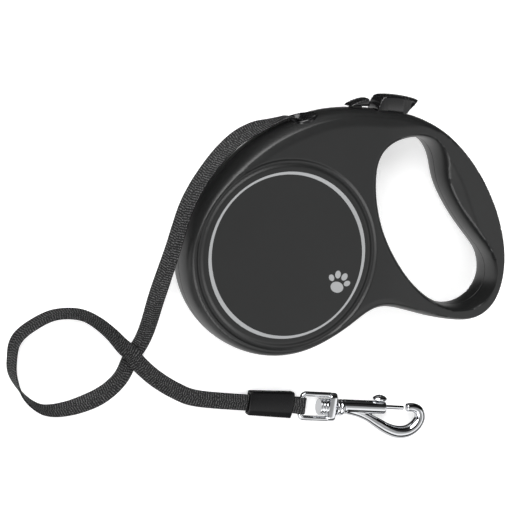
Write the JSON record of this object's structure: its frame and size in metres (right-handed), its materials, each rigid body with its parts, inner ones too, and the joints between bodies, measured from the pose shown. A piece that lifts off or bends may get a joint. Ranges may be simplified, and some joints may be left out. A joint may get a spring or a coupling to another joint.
{
  "type": "retractable tape leash",
  "caption": "Retractable pet leash: a round reel housing with a looped handle, a brake button and a flat tape that ends in a swivelling bolt snap.",
  "frame": {"origin": "on the reel's axis, in the plane of the back face that the leash lies on", "axes": "+Z along the reel's axis to the front face, +X towards the handle, +Y towards the tape guide and the brake button"},
  "size_m": [0.2558, 0.1801, 0.028],
  "materials": {
    "housing": "satin black moulded shell",
    "gloss": "polished black plastic",
    "tape": "woven nylon tape with a diagonal twill",
    "sleeve": "soft black moulded sleeve",
    "chrome": "polished chrome plate",
    "steel": "plain zinc-plated steel",
    "spring_steel": "bright spring steel",
    "reel": "natural white acetal",
    "cover": "dark grey plastic",
    "pawl": "stamped brass"
  },
  "bodies": {
    "housing": {"front_shell": "housing", "back_shell": "housing", "housing_screws": "steel", "tape_guide": "gloss", "axle": "steel", "lead_tape": "tape", "button_spring": "spring_steel", "pawl_pin": "steel", "free_tape": "tape", "tape_end_loop": "tape", "tape_sleeve": "sleeve"},
    "reel": {"reel_drum": "reel", "ratchet_rim": "reel", "hub_cover": "cover", "hub_cover_screws": "steel", "mainspring": "spring_steel", "wound_tape": "tape"},
    "brake_button": {"brake_button": "gloss"},
    "lock_slider": {"lock_slider": "gloss"},
    "brake_pawl": {"brake_pawl": "pawl"},
    "swivel_eye": {"swivel_eye": "chrome"},
    "snap": {"snap_body": "chrome", "swivel_head": "chrome", "bolt_spring": "spring_steel"},
    "snap_bolt": {"snap_bolt": "chrome", "bolt_knob": "chrome"}
  },
  "joints": [
    {"name": "reel_spin", "type": "hinge", "parent": "housing", "child": "reel", "pos_m": [0, 0, 0.014], "axis": [0, 0, 1], "continuous": true},
    {"name": "brake_press", "type": "slide", "parent": "housing", "child": "brake_button", "axis": [0, -1, 0], "range_m": [0, 0.004], "stiffness_N_per_m": 900, "springref_m": -0.002, "deforming": ["button_spring"]},
    {"name": "pawl_turn", "type": "hinge", "parent": "housing", "child": "brake_pawl", "pos_m": [0.008, 0.052, 0.0202], "axis": [0, 0, -1], "range_deg": [0, 5.2]},
    {"name": "lock_slide", "type": "slide", "parent": "housing", "child": "lock_slider", "axis": [1, 0, 0], "range_m": [0, 0.0025]},
    {"name": "eye_tilt", "type": "hinge", "parent": "housing", "child": "swivel_eye", "pos_m": [0.01673, -0.08198, 0.0045], "axis": [-0.1392, -0.9903, 0], "range_deg": [0, 90]},
    {"name": "snap_swivel", "type": "hinge", "parent": "swivel_eye", "child": "snap", "pos_m": [0.0354, -0.0846, 0.0045], "axis": [0.9903, -0.1392, 0], "continuous": true},
    {"name": "bolt_slide", "type": "slide", "parent": "snap", "child": "snap_bolt", "axis": [-0.9903, 0.1392, 0], "range_m": [0, 0.009], "stiffness_N_per_m": 400, "springref_m": -0.003, "deforming": ["bolt_spring"]}
  ],
  "couplings": [
    {"joint": "pawl_turn", "follows": "brake_press", "rad_per_m": 22.665}
  ]
}
